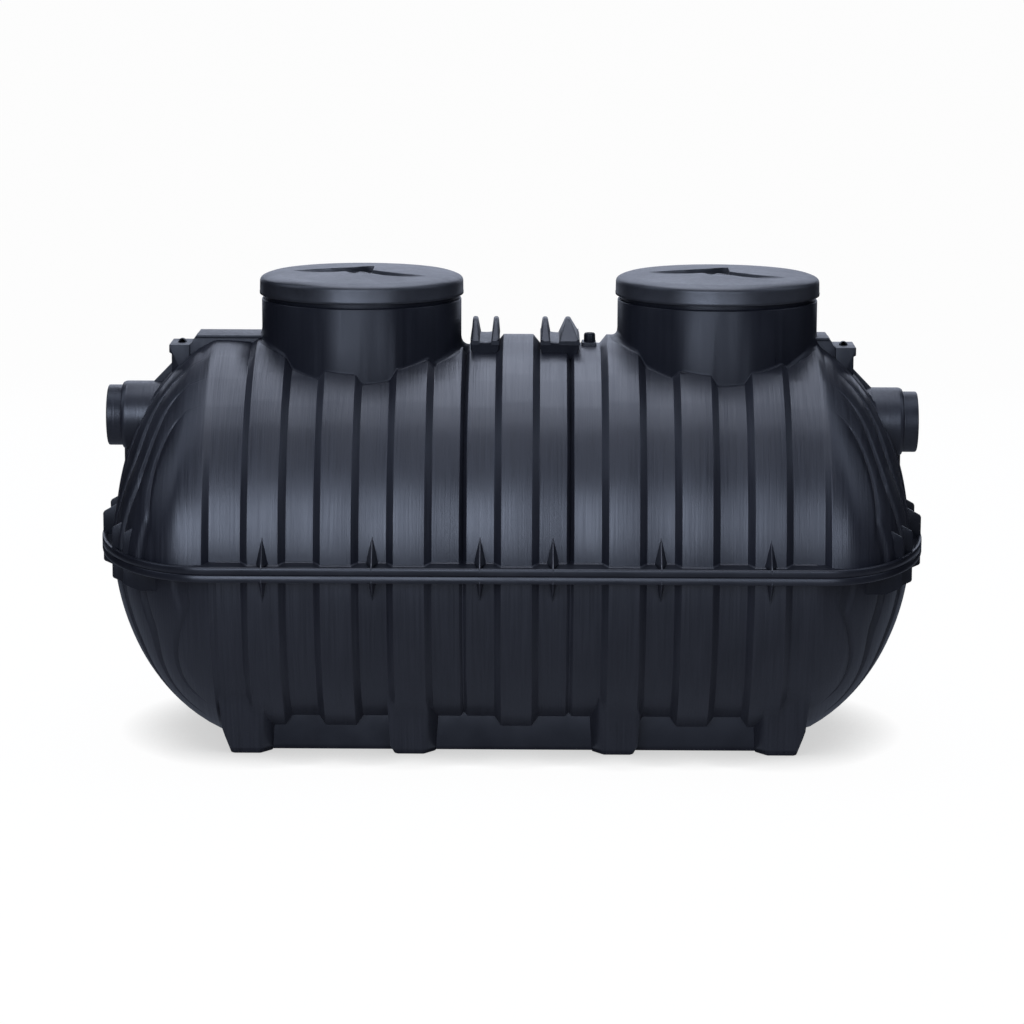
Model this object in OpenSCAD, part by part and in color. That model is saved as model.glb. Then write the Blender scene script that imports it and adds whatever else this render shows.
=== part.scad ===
// Horizontal septic tank of two moulded polyethylene halves, joined at a flange round the middle.
// X runs along the tank from the inlet (-X) to the outlet (+X), Z is up, and the feet stand on Z = 0.
// Millimetres.

/* [Body] */
// Outer radius over the raised bands
band_r = 600; // [590:1:606]
// How far below the floor the raised bands' round would reach, were it not cut flat
base_cut = 10; // [0:1:25]
// How far the low bands lie below the raised ones
band_step = 25; // [12:1:34]
// Length of a raised band along the tank, between the middles of its sloping sides
raised_len = 108.5; // [102:0.5:112]
// Length of a low band along the tank, between the middles of its sloping sides
low_len = 99; // [94:0.5:103]
// How far the run of bands sits towards the outlet from the middle of the tank
band_shift = 17; // [0:1:25]
// Length along the tank that each sloping side of a band takes
band_run = 20; // [12:1:30]
// Depth of the narrow groove between two bands of one level
groove_depth = 20; // [8:1:22]
// Wall thickness of the shells
wall = 9; // [6:0.5:12]

/* [Domed ends] */
// Centre of the upper half's elliptical ends, from the middle of the tank
dome_start = 710; // [700:5:730]
// How far the curve would rise past the raised bands there
dome_rise = 38; // [30:1:42]
// Reach of the upper half's domed end beyond that centre
upper_reach = 473; // [455:1:480]
// Centre of the lower half's elliptical ends, from the middle of the tank
lower_start = 680; // [670:5:700]
// How far the lower half's curve would rise past the raised bands there
lower_rise = 26; // [20:1:38]
// Reach of the lower half's domed end beyond that centre
lower_reach = 510; // [495:1:518]
// Depth of the grooves on the domed ends, at the tip
end_groove_depth = 27; // [10:1:32]
// Width of the grooves on the domed ends
end_groove_w = 34; // [20:1:44]
// Distance from one end groove to the next
end_groove_pitch = 106; // [100:1:110]

/* [Flange] */
// How far the flange stands out past the raised bands
flange_out = 55; // [40:1:80]
// How far the flange stands out past the tips of the lower half's domed ends
flange_tip_out = 29; // [15:1:38]
// Thickness of each half's flange
flange_t = 22; // [14:1:30]
// Thickness of the gussets over and under the flange
gusset_t = 12; // [8:1:18]
// Height of the gussets above or below the flange
gusset_h = 70; // [50:1:90]

/* [Necks and lids] */
// Centre of the inlet side's neck, along the tank
inlet_neck_x = -447; // [-480:1:-420]
// Centre of the outlet side's neck, along the tank
outlet_neck_x = 605; // [560:1:615]
// Outer radius of the necks
neck_r = 295; // [280:1:300]
// Height of the shoulder below the lid, over the top of the raised bands
neck_rise = 113; // [70:1:160]
// How far the collar that the lid goes over is set in from the neck
collar_step = 12; // [10:1:25]
// Height of the collar above the shoulder
collar_h = 55; // [40:1:65]
// Gap between the collar and the lid's skirt
lid_gap = 5.5; // [5:0.5:8]
// Thickness of the lid's skirt
lid_wall = 11.5; // [9:0.5:20]
// Height of the lid's skirt, from its lower edge to the top
skirt_h = 56; // [50:1:62]
// Thickness of the lid's top
lid_t = 18; // [14:1:22]
// Rise of the lid's top from its edge to the middle
lid_crown = 5; // [3:1:9]
// Length of each arm of the grip recess in the lid
grip_len = 205; // [150:1:230]
// Width of each arm of the grip recess at the middle
grip_w = 62; // [40:1:80]
// Depth of the grip recess
grip_depth = 12; // [6:1:13]

/* [Pipe stubs] */
// Height of the inlet stub's underside over the tank's axis, as a share of the bands' radius
inlet_share = 0.425; // [0.41:0.005:0.44]
// Height of the outlet stub's underside over the tank's axis, as a share of the bands' radius
outlet_share = 0.40833; // [0.4:0.005:0.43]
// Radius of the bore that takes the pipe
pipe_bore_r = 80.5; // [78:0.5:82]
// Depth of that bore
pipe_bore_depth = 80; // [60:1:100]
// Thickness of the stub's wall at the mouth
mouth_wall = 9.5; // [7.5:0.5:13]
// How far the stub's thick root stands out past the mouth all round
root_step = 12; // [8:1:18]
// Distance of the stub's mouth beyond the tip of the upper half's domed end
mouth_out = 18; // [10:1:29]
// Length of the thinner mouth
mouth_len = 43; // [30:1:55]

/* [Base] */
// Distance of the inner feet from the middle of the base, along it
inner_foot_x = 302; // [290:1:320]
// Distance of the outer feet from the middle of the base, along it
outer_foot_x = 781; // [765:1:785]
// How far the base sits towards the outlet from the middle of the tank
base_shift = 10; // [0:1:20]
// Length of a foot along the tank, at the floor
foot_len = 92; // [80:1:100]
// Half width of the base over the feet
foot_half_w = 354; // [340:1:370]
// How far the skirts are set in from the feet's faces
skirt_in = 46; // [30:1:60]
// Gap between the skirts and the floor
skirt_gap = 3; // [2:1:15]

/* [Top fittings] */
// Height of the flat saddles at both ends, over the top of the raised bands
saddle_rise = 6; // [3:1:15]
// Half width of the saddles and the posts
saddle_half_w = 70; // [60:1:90]
// How far the posts beside the saddles stay below the top of the raised bands
post_drop = 23; // [15:1:35]
// Height of the cradles' prongs over the top of the raised bands
cradle_rise = 54; // [42:1:65]
// Half length of the cradles across the tank
cradle_half_len = 125; // [90:1:140]

/* [Hidden] */

shell_colour = "#23262d";
lid_colour = "#2a2d34";
fit_gap = 0.3;
seat_gap = 0.2;
lower_clip = 4;

axis_z = band_r - base_cut;
crest_z = axis_z + band_r;
dome_r = band_r + dome_rise;
flange_half_w = band_r + flange_out;
flange_half_len = lower_start + lower_reach + flange_tip_out;
neck_top = crest_z + neck_rise;
collar_r = neck_r - collar_step;
lid_r = collar_r + lid_gap + lid_wall;
mouth_r = pipe_bore_r + mouth_wall;
root_r = mouth_r + root_step;
inlet_z = axis_z + inlet_share * band_r + root_r;
outlet_z = axis_z + outlet_share * band_r + root_r;
mouth_x = dome_start + upper_reach + mouth_out;
skirt_half_w = foot_half_w - skirt_in;
saddle_z = crest_z + saddle_rise;
post_z = crest_z - post_drop;
cradle_z = crest_z + cradle_rise;

// 1 for a raised band and 0 for a low one, from the middle of the run outwards
band_levels = [1, 0, 0, 1, 0, 1, 0, 1, 0];
last_band = len(band_levels) - 1;

function band_radius(k) = band_r - (1 - band_levels[k]) * band_step;
function band_len(k) = band_levels[k] == 1 ? raised_len : low_len;
// Distance of band k's far end, and of its middle, from the middle of the run
function band_end(k) = k == 0 ? band_len(0) / 2 : band_end(k - 1) + band_len(k);
function band_middle(k) = band_end(k) - band_len(k) / 2;

run_end = band_end(last_band);
// Distance of each domed end's edge from the middle of the tank
inlet_edge = run_end - band_shift;
outlet_edge = run_end + band_shift;

function reversed(list) = [for (i = [len(list) - 1:-1:0]) list[i]];
function mirrored(points) = [for (p = reversed(points)) [p[0], -p[1]]];
function but_first(list) = [for (i = [1:len(list) - 1]) list[i]];
function shifted(points, by) = [for (p = points) [p[0], p[1] + by]];

// The elliptical curve of each half's domed ends: centre, reach and radius
UPPER = [dome_start, upper_reach, dome_r];
LOWER = [lower_start, lower_reach, band_r + lower_rise];
// The same curve with a longer reach
function longer(curve, by) = [curve[0], curve[1] + by, curve[2]];
// The inside of a domed end lies a wall's thickness under the floor of its grooves
function inside(curve) = longer(curve, -end_groove_depth - wall);

// Radius of a domed end's curve at its edge, kept within the raised bands
function edge_r(edge, curve, inset) =
    min(band_r - inset, (curve[2] - inset) * sqrt(1 - pow((edge - curve[0]) / curve[1], 2)));

// Points [radius, x] of a domed end from its edge to the tip
dome_steps = 12;
function dome_points(edge, curve, inset) =
    let (edge_turn = asin((edge - curve[0]) / curve[1]),
         first = max(edge_turn, acos((band_r - inset) / (curve[2] - inset))))
    concat([[edge_r(edge, curve, inset), edge]],
           [for (i = [first > edge_turn ? 0 : 1:dome_steps])
               let (turn = first + (90 - first) * i / dome_steps)
               [(curve[2] - inset) * cos(turn), curve[0] + curve[1] * sin(turn)]]);

// Points [radius, x] where band k meets the next one
function band_step_points(k, inset) =
    let (x = band_end(k), here = band_radius(k) - inset, next = band_radius(k + 1) - inset)
    here != next
        ? [[here, x - band_run / 2], [next, x + band_run / 2]]
        : [[here, x - band_run / 2], [here - groove_depth, x - band_run / 8],
           [here - groove_depth, x + band_run / 8], [here, x + band_run / 2]];

// Points [radius, x] of the bands from the middle of the run to an end that has the radius end_r
function half_run(inset, end_r) =
    concat([for (k = [0:last_band - 1]) each band_step_points(k, inset)],
           [[band_radius(last_band) - inset, run_end - band_run], [end_r, run_end]]);

// Points [radius, x] of the whole run of bands, between domed ends of one curve
function barrel_points(curve, inset) =
    shifted(concat(mirrored(half_run(inset, edge_r(inlet_edge, curve, inset))),
                   half_run(inset, edge_r(outlet_edge, curve, inset))), band_shift);

// Turns a profile of [radius, x] points about the tank's long axis, through the upper half or all round
module turned(points, angle = 360) {
    translate([0, 0, axis_z]) rotate([90, 0, 90]) rotate_extrude(angle = angle, $fn = 96) polygon(points);
}

// Carries an upper half below the axis
module lower_half() {
    translate([0, 0, 2 * axis_z]) mirror([0, 0, 1]) children();
}

module at_inlet() { mirror([1, 0, 0]) children(); }
module back_side() { mirror([0, 1, 0]) children(); }

// The grooves of one domed end, down to their floor, with their sides and floor drawn in by margin
module end_grooves(edge, curve, margin) {
    half_w = end_groove_w / 2 - margin;
    difference() {
        for (side = [-1, 1], k = [1:4])
            translate([edge - 1, side * k * end_groove_pitch - half_w, axis_z - dome_r])
                cube([curve[1], 2 * half_w, 2 * dome_r]);
        turned(concat([[0, edge - 10], [band_r + margin, edge - 10]],
                      dome_points(edge, longer(curve, margin - end_groove_depth), -margin)));
    }
}

// The whole tank as one solid, larger by the seat gap, for cutting what stands on it
module body_solid(curve) {
    full = longer(curve, seat_gap);
    difference() {
        turned(concat(mirrored(but_first(dome_points(inlet_edge, full, -seat_gap))),
                      barrel_points(full, -seat_gap),
                      but_first(dome_points(outlet_edge, full, -seat_gap))));
        end_grooves(outlet_edge, curve, seat_gap);
        at_inlet() end_grooves(inlet_edge, curve, seat_gap);
    }
}

// What stands on the shell, in the shell's colour
module seated(curve) {
    color(shell_colour) difference() {
        children();
        body_solid(curve);
    }
}

module neck_hole(x) {
    translate([x, 0, axis_z + band_r / 2]) cylinder(r = neck_r - wall, h = band_r, $fn = 96);
}

module stub_hole(z) {
    translate([dome_start, 0, z]) rotate([0, 90, 0]) cylinder(r = root_r + fit_gap, h = lower_reach, $fn = 96);
}

module upper_barrel() {
    color(shell_colour) difference() {
        turned(concat(barrel_points(UPPER, 0), reversed(barrel_points(inside(UPPER), wall))), 180);
        neck_hole(inlet_neck_x);
        neck_hole(outlet_neck_x);
    }
}

module upper_end(edge, stub_z) {
    difference() {
        turned(concat(dome_points(edge, UPPER, 0), reversed(dome_points(edge, inside(UPPER), wall))), 180);
        end_grooves(edge, UPPER, 0);
        stub_hole(stub_z);
    }
}
module upper_inlet_end() {
    color(shell_colour) at_inlet() upper_end(inlet_edge, inlet_z);
}
module upper_outlet_end() {
    color(shell_colour) difference() {
        upper_end(outlet_edge, outlet_z);
        neck_hole(outlet_neck_x);
    }
}

// What lies above a level
module above(level) {
    translate([-2 * dome_start, -2 * band_r, level]) cube([4 * dome_start, 4 * band_r, axis_z]);
}

// A lower piece, from its outside and its hollow, with a flat underside
module lower_shell() {
    difference() {
        intersection() {
            lower_half() children(0);
            above(lower_clip);
        }
        intersection() {
            lower_half() children(1);
            above(lower_clip + wall);
        }
    }
}

module lower_barrel() {
    outside = barrel_points(LOWER, 0);
    hollow = barrel_points(inside(LOWER), wall);
    first = hollow[0];
    last = hollow[len(hollow) - 1];
    color(shell_colour) lower_shell() {
        turned(concat([[0, -inlet_edge]], outside, [[0, outlet_edge]]), 180);
        turned(concat([[0, first[1] - 10], first - [0, 10]], hollow, [last + [0, 10], [0, last[1] + 10]]));
    }
}

module lower_end(edge) {
    hollow = dome_points(edge, inside(LOWER), wall);
    lower_shell() {
        difference() {
            turned(concat([[0, edge]], dome_points(edge, LOWER, 0)), 180);
            end_grooves(edge, LOWER, 0);
        }
        turned(concat([[0, edge - 10], hollow[0] - [0, 10]], hollow));
    }
}
module lower_inlet_end() { color(shell_colour) at_inlet() lower_end(inlet_edge); }
module lower_outlet_end() { color(shell_colour) lower_end(outlet_edge); }

// Plan of the flange: straight sides and elliptical ends
flange_steps = 24;
function flange_end(side, edge) =
    [for (i = [0:flange_steps])
        let (turn = -90 + 180 * i / flange_steps)
        [side * (edge + (flange_half_len - edge) * cos(turn)), side * flange_half_w * sin(turn)]];

// Distance of the flange's rim from the middle of the tank, at the side distance y
function rim_x(y, edge) = edge + (flange_half_len - edge) * sqrt(1 - pow(y / flange_half_w, 2));

module flange(z) {
    translate([0, 0, z]) linear_extrude(flange_t)
        polygon(concat(flange_end(1, outlet_edge), flange_end(-1, inlet_edge)));
}
module upper_flange() { seated(UPPER) flange(axis_z); }
module lower_flange() { seated(LOWER) flange(axis_z - flange_t); }

gusset_bands = [-7, -4, -1, 1, 4, 7];
gusset_rim = 6;
side_gusset_foot = 30;
side_gusset_tip = 10;
gusset_root = 40;

// A gusset of the long sides, above the flange and against band k: a narrow tent that leans on the shell
module side_gusset(k) {
    base_z = axis_z + flange_t;
    tip_y = band_radius(k);
    back_y = tip_y - gusset_root;
    difference() {
        intersection() {
            rotate([90, 0, 90]) translate([0, 0, -side_gusset_foot / 2]) linear_extrude(side_gusset_foot)
                polygon([[back_y, base_z], [flange_half_w - gusset_rim, base_z],
                         [flange_half_w - gusset_rim, base_z + 8], [tip_y, base_z + gusset_h],
                         [back_y, base_z + gusset_h]]);
            translate([0, flange_half_w, 0]) rotate([90, 0, 0]) linear_extrude(flange_half_w - back_y)
                polygon([[-side_gusset_foot / 2, base_z], [side_gusset_foot / 2, base_z],
                         [side_gusset_tip / 2, base_z + gusset_h], [-side_gusset_tip / 2, base_z + gusset_h]]);
        }
        turned([[0, -side_gusset_foot], [tip_y + seat_gap, -side_gusset_foot],
                [tip_y + seat_gap, side_gusset_foot], [0, side_gusset_foot]]);
    }
}

module side_gussets() {
    color(shell_colour) for (side = [0, 1], k = gusset_bands)
        translate([band_shift + sign(k) * band_middle(abs(k)), 0, 0]) mirror([0, side, 0]) side_gusset(abs(k));
}
module upper_side_gussets() { side_gussets(); }
module lower_side_gussets() { lower_half() side_gussets(); }

end_gusset_ys = [84, 337, 430];
end_gusset_len = 100;

module end_gussets() {
    base_z = axis_z + flange_t;
    for (end = [0, 1], side = [-1, 1], y = end_gusset_ys) {
        out_x = rim_x(y, end == 0 ? outlet_edge : inlet_edge) - gusset_rim;
        mirror([end, 0, 0]) translate([0, side * y + gusset_t / 2, 0]) rotate([90, 0, 0])
            linear_extrude(gusset_t)
                polygon([[out_x - end_gusset_len, base_z], [out_x, base_z], [out_x, base_z + 0.5 * gusset_h],
                         [out_x - 0.14 * end_gusset_len, base_z + 0.85 * gusset_h],
                         [out_x - 0.6 * end_gusset_len, base_z + 1.2 * gusset_h],
                         [out_x - end_gusset_len, base_z + 1.2 * gusset_h]]);
    }
}
module upper_end_gussets() { seated(UPPER) end_gussets(); }
module lower_end_gussets() { seated(LOWER) lower_half() end_gussets(); }

// A neck stands on the bands and steps in to a collar under the lid
module neck(x) {
    seated(UPPER) translate([x, 0, 0]) rotate_extrude($fn = 96) polygon([
        [neck_r - wall, axis_z + band_r / 2], [neck_r, axis_z + band_r / 2], [neck_r, neck_top],
        [collar_r, neck_top], [collar_r, neck_top + collar_h], [collar_r - wall, neck_top + collar_h],
        [collar_r - wall, neck_top - wall], [neck_r - wall, neck_top - wall]]);
}
module inlet_neck() { neck(inlet_neck_x); }
module outlet_neck() { neck(outlet_neck_x); }

// A lid: a crowned cap whose skirt goes over the collar, with a grip recess across it
lid_round = 15;
lid_lip = 2;
crown_steps = 6;
grip_post_r = 24;
module lid(x, turn) {
    seat_z = neck_top + collar_h + fit_gap;
    top_z = seat_z + lid_t;
    low_z = top_z - skirt_h;
    inside_r = collar_r + lid_gap;
    flat_r = lid_r - lid_round;
    sphere_r = (pow(flat_r, 2) + pow(lid_crown, 2)) / (2 * lid_crown);
    rounded = [for (a = [0:15:90]) [flat_r + lid_round * cos(a), top_z - lid_round + lid_round * sin(a)]];
    crown = [for (i = [1:crown_steps])
                let (r = flat_r * (1 - i / crown_steps))
                [r, top_z + lid_crown - sphere_r + sqrt(pow(sphere_r, 2) - r * r)]];
    color(lid_colour) translate([x, 0, 0]) difference() {
        rotate_extrude($fn = 96) polygon(concat(
            [[0, seat_z], [inside_r, seat_z], [inside_r, low_z], [lid_r + lid_lip, low_z],
             [lid_r + lid_lip, low_z + 6], [lid_r, low_z + 10]], rounded, crown));
        rotate([0, 0, turn]) difference() {
            grip_recess(top_z + lid_crown);
            cylinder(r1 = grip_post_r + 8, r2 = grip_post_r, h = top_z + lid_crown - 2, $fn = 48);
        }
    }
}

// Two arms that run out to points and turn round the middle, deepest there
module grip_recess(top_z) {
    hull() {
        translate([0, 0, top_z]) linear_extrude(4) grip_plan();
        translate([0, 0, top_z - grip_depth]) linear_extrude(1) scale(0.45) grip_plan();
    }
}
module grip_plan() {
    skew = 0.2 * grip_len;
    half_w = 0.6 * grip_w;
    polygon([[-grip_len, 0], [-skew, -half_w], [grip_len, 0], [skew, half_w]]);
}
module inlet_lid() { lid(inlet_neck_x, -15); }
module outlet_lid() { lid(outlet_neck_x, -18); }

// A pipe stub with a thick root through the domed end and a bore for the pipe
stub_inside = 70;
root_end = mouth_x - mouth_len;
module stub(z) {
    shell_x = dome_start + upper_reach * sqrt(1 - pow((z - axis_z + root_r) / dome_r, 2));
    inner_x = shell_x - end_groove_depth - wall - stub_inside;
    through_r = pipe_bore_r - 6;
    color(shell_colour) translate([0, 0, z]) rotate([0, 90, 0]) rotate_extrude($fn = 96)
        polygon([[through_r, inner_x], [root_r, inner_x], [root_r, root_end - 10], [root_r - 5, root_end],
                 [mouth_r, root_end], [mouth_r, mouth_x - 3], [mouth_r - 3, mouth_x], [pipe_bore_r, mouth_x],
                 [pipe_bore_r, mouth_x - pipe_bore_depth], [through_r, mouth_x - pipe_bore_depth]]);
}
module inlet_stub() { at_inlet() stub(inlet_z); }
module outlet_stub() { stub(outlet_z); }

saddle_out_x = dome_start + 0.518 * upper_reach;
post_t = 51;
post_x = saddle_out_x + post_t;

// A flat-topped block between a neck and the post
module saddle(neck_x) {
    saddle_bevel = 33;
    low_z = crest_z - band_r / 3;
    difference() {
        translate([0, saddle_half_w, 0]) rotate([90, 0, 0]) linear_extrude(2 * saddle_half_w)
            polygon([[neck_x, low_z], [saddle_out_x, low_z], [saddle_out_x, post_z],
                     [saddle_out_x - 12, post_z], [saddle_out_x - saddle_bevel, saddle_z], [neck_x, saddle_z]]);
        translate([neck_x, 0, 0]) cylinder(r = neck_r + seat_gap, h = 2 * saddle_z, $fn = 96);
    }
}
module inlet_saddle() { seated(UPPER) at_inlet() saddle(-inlet_neck_x); }
module outlet_saddle() { seated(UPPER) saddle(outlet_neck_x); }

// A post with an outward lip and a small eye on top
module post() {
    lip = 7;
    lip_h = 24;
    eye_t = 16;
    low_z = crest_z - band_r / 2;
    eye_x = saddle_out_x + post_t / 2;
    difference() {
        union() {
            translate([saddle_out_x, -saddle_half_w, low_z])
                cube([post_t, 2 * saddle_half_w, post_z - low_z]);
            translate([post_x - 1, -saddle_half_w, post_z - lip_h]) cube([lip + 1, 2 * saddle_half_w, lip_h]);
            translate([eye_x, eye_t / 2, post_z]) rotate([90, 0, 0]) cylinder(r = 13, h = eye_t, $fn = 48);
        }
        translate([eye_x, eye_t, post_z + 5]) rotate([90, 0, 0]) cylinder(r = 5, h = 2 * eye_t, $fn = 48);
    }
}
module inlet_post() { seated(UPPER) at_inlet() post(); }
module outlet_post() { seated(UPPER) post(); }

web_len = 85;
web_fall = 88;
web_over = 21.5;

// Upright plates in the middle plane, over and under the stub
module web(z) {
    low_z = axis_z + flange_t + 1.25 * gusset_h;
    top_z = axis_z + dome_r * sqrt(1 - pow((post_x - dome_start) / upper_reach, 2)) + web_over;
    out_x = root_end - 2;
    difference() {
        translate([0, gusset_t / 2, 0]) rotate([90, 0, 0]) linear_extrude(gusset_t) {
            polygon([[post_x, z], [post_x + web_len, z], [post_x + web_len, top_z - web_fall], [post_x, top_z]]);
            polygon([[post_x, low_z], [out_x, low_z], [out_x, z], [post_x, z]]);
        }
        translate([0, 0, z]) rotate([0, 90, 0]) cylinder(r = root_r + seat_gap, h = 2 * mouth_x, $fn = 96);
    }
}
module inlet_web() { seated(UPPER) at_inlet() web(inlet_z); }
module outlet_web() { seated(UPPER) web(outlet_z); }

foot_depth = 110;
foot_draft = 27;
foot_top = 217;
// How far a foot's side leans out, with the height of each place
outer_lean = [[18, 53], [25, 77], [36, foot_top]];
inner_lean = [[14, 26], [21, 160], [21, foot_top]];

// A foot that leans out as it rises and ends in the shell, with its inward side drawn back at the front
module foot_block(i) {
    x = base_shift + [-outer_foot_x, -inner_foot_x, inner_foot_x, outer_foot_x][i];
    lean = i == 0 || i == 3 ? outer_lean : inner_lean;
    half = foot_len / 2;
    front = -foot_half_w;
    translate([x, 0, 0]) mirror([i < 2 ? 1 : 0, 0, 0]) intersection() {
        translate([0, front + foot_depth, 0]) rotate([90, 0, 0]) linear_extrude(foot_depth)
            polygon(concat([[-half - foot_draft, 0], [half, 0]], [for (p = lean) [half + p[0], p[1]]],
                           [[-half - foot_draft, foot_top]]));
        linear_extrude(foot_top)
            polygon([[-half, front], [2 * half, front], [2 * half, front + foot_depth],
                     [-half - foot_draft, front + foot_depth], [-half - foot_draft, -skirt_half_w]]);
    }
}
module foot(i) { seated(LOWER) foot_block(i); }

// A skirt between the outer feet, up to the sides of every foot
module skirt() {
    skirt_t = 12;
    skirt_top = axis_z - sqrt(pow(band_r - band_step, 2) - pow(skirt_half_w, 2)) + 3 * skirt_t;
    difference() {
        translate([base_shift - outer_foot_x, -skirt_half_w, skirt_gap])
            cube([2 * outer_foot_x, skirt_t, skirt_top - skirt_gap]);
        for (i = [0:3]) foot_block(i);
    }
}
module front_skirt() { seated(LOWER) skirt(); }
module back_skirt() { seated(LOWER) back_side() skirt(); }

cradle_floor = crest_z - 4;
// Depth below its top at which a prong's outer side turns upright
prong_turn = 44;
prong_top = 12;
slot_w = 31;
// How far the cradles and the guide reach down before the shell cuts them
seat_depth = 60;
// How far each prong is set in at its top, and how wide it is at the floor of the slot
inlet_left_lead = 5;
inlet_left_w = 22;
inlet_right_lead = 3;
inlet_right_w = 28;
outlet_left_lead = 6;
outlet_left_w = 26;
outlet_right_lead = 26;
outlet_right_w = 54;

// A cradle across the top, from its outline [x, z] above the crest: two prongs that fall away sideways
module cradle(outline, left, right) {
    base = crest_z - seat_depth;
    intersection() {
        translate([0, cradle_half_len, 0]) rotate([90, 0, 0]) linear_extrude(2 * cradle_half_len)
            polygon(concat([[left, base], [right, base]], outline));
        rotate([90, 0, 90]) translate([0, 0, left]) linear_extrude(right - left)
            polygon([[-cradle_half_len, base], [cradle_half_len, base], [cradle_half_len, crest_z - 2],
                     [30, cradle_z], [-30, cradle_z], [-cradle_half_len, crest_z - 2]]);
    }
}
// A prong's outline, from its outer side to the slot
function prong(outer, dir, lead, width) =
    [[outer, cradle_z - prong_turn], [outer + dir * lead, cradle_z],
     [outer + dir * (lead + prong_top), cradle_z], [outer + dir * width, cradle_floor]];

module inlet_cradle() {
    left = -121;
    right = left + inlet_left_w + slot_w + inlet_right_w;
    seated(UPPER)
        cradle(concat(prong(right, -1, inlet_right_lead, inlet_right_w),
                      reversed(prong(left, 1, inlet_left_lead, inlet_left_w))), left, right);
}
module outlet_cradle() {
    left = 85;
    right = left + outlet_left_w + slot_w + outlet_right_w;
    seated(UPPER)
        cradle(concat(prong(right, -1, outlet_right_lead, outlet_right_w),
                      reversed(prong(left, 1, outlet_left_lead, outlet_left_w))), left, right);
}

// A low block with a round knob
module cable_guide() {
    left = 198;
    long = 53;
    half_w = 35;
    seated(UPPER) {
        translate([left, -half_w, crest_z - seat_depth]) cube([long, 2 * half_w, seat_depth]);
        translate([left + 30, 0, crest_z - 1]) cylinder(r = 15, h = 16, $fn = 48);
    }
}

lower_barrel();
lower_inlet_end();
lower_outlet_end();
upper_barrel();
upper_inlet_end();
upper_outlet_end();
lower_flange();
upper_flange();
upper_side_gussets();
lower_side_gussets();
upper_end_gussets();
lower_end_gussets();
inlet_neck();
outlet_neck();
inlet_lid();
outlet_lid();
inlet_stub();
outlet_stub();
inlet_saddle();
outlet_saddle();
inlet_post();
outlet_post();
inlet_web();
outlet_web();
front_skirt();
back_skirt();
foot(0);  // front_foot_1
foot(1);  // front_foot_2
foot(2);  // front_foot_3
foot(3);  // front_foot_4
back_side() foot(0);  // back_foot_1
back_side() foot(1);  // back_foot_2
back_side() foot(2);  // back_foot_3
back_side() foot(3);  // back_foot_4
inlet_cradle();
outlet_cradle();
cable_guide();
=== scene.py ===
"""Looks of the septic tank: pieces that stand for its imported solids, procedural plastic, soft light and a camera.
Metres; X runs along the tank from inlet to outlet, the photo looks along +Y, Z is up and the floor is at 0."""
import bpy, bmesh, math
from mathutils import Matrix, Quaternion, Vector
from mathutils.geometry import delaunay_2d_cdt


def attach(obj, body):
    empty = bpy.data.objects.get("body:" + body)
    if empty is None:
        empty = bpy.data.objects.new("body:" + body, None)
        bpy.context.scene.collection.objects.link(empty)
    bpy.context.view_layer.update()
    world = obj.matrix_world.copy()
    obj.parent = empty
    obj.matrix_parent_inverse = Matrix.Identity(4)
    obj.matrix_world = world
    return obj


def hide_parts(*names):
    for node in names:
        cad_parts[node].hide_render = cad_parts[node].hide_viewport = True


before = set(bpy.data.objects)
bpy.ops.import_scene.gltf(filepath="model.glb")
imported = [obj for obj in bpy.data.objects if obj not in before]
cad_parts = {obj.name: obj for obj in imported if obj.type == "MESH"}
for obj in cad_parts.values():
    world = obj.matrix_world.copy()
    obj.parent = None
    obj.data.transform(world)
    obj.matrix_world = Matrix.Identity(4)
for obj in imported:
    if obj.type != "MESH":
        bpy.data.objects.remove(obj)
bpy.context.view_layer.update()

ENDS = ("inlet", "outlet")
SIGN = {"inlet": -1, "outlet": 1}  # which way an end looks along X

# ---------------------------------------------------------------- sizes
# the barrel and its bands
AXIS = 0.590                          # height of the shell's axis, where its halves meet
WALL = 0.009
BAND_R, LOW_R = 0.600, 0.575          # radius of a raised band and of a low one
RAISED_LEN, LOW_LEN = 0.1085, 0.099
LEVELS = [1, 0, 0, 1, 0, 1, 0, 1, 0]  # raised or low, from the middle band outwards
SLOPE = 0.020                         # length of a band's sloping side
GROOVE, LOWER_GROOVE = 0.0235, 0.011  # depth of the groove between two low bands, in the upper and the lower shell
SHIFT = 0.017                         # the run of bands stands this far towards the outlet
CORNER_R = 0.0036                     # rounding of the bands' corners
BELLY = 0.004                         # the lower shell is flat underneath, this far over the floor

# the domed ends
UPPER, LOWER = (0.710, 0.473, 0.638), (0.680, 0.510, 0.626)  # centre, reach and radius of the ends' curves
FLANK_TOP = math.radians(52)          # the upper ends' fuller flanks are gone at this angle over the flange
FLANK_START, FLANK_R, FLANK_POWER = 0.180, 0.603, 0.32  # their later start, their radius and their squarer curve
SHOULDER_TOP = math.radians(38)       # beside this angle the ends stand up to the raised bands
CREST_RISE, CREST_SPAN = 0.020, math.radians(30)  # the crest stands up where the saddle sits on it
CREST_RUN = 0.017                     # length over which it does so along the last band
END_WALL, END_WALL_RUN = 0.001, 0.019  # start and length of the slope from the last band to the end
END_WALL_STEPS = (-0.0215, -0.0120, -0.0005, 0.0010, 0.0030, 0.0105, 0.0180, 0.0200, 0.0215)
BAND_STOP = 0.0225                    # the bands' own rows stop this far before the last band's end
DOME_START = 0.026                    # the ends' own rows start this far past it
DOME_GROOVE, DOME_GROOVE_HALF, PITCH = 0.027, 0.0200, 0.106  # depth, half width and pitch of the ends' grooves

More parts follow.
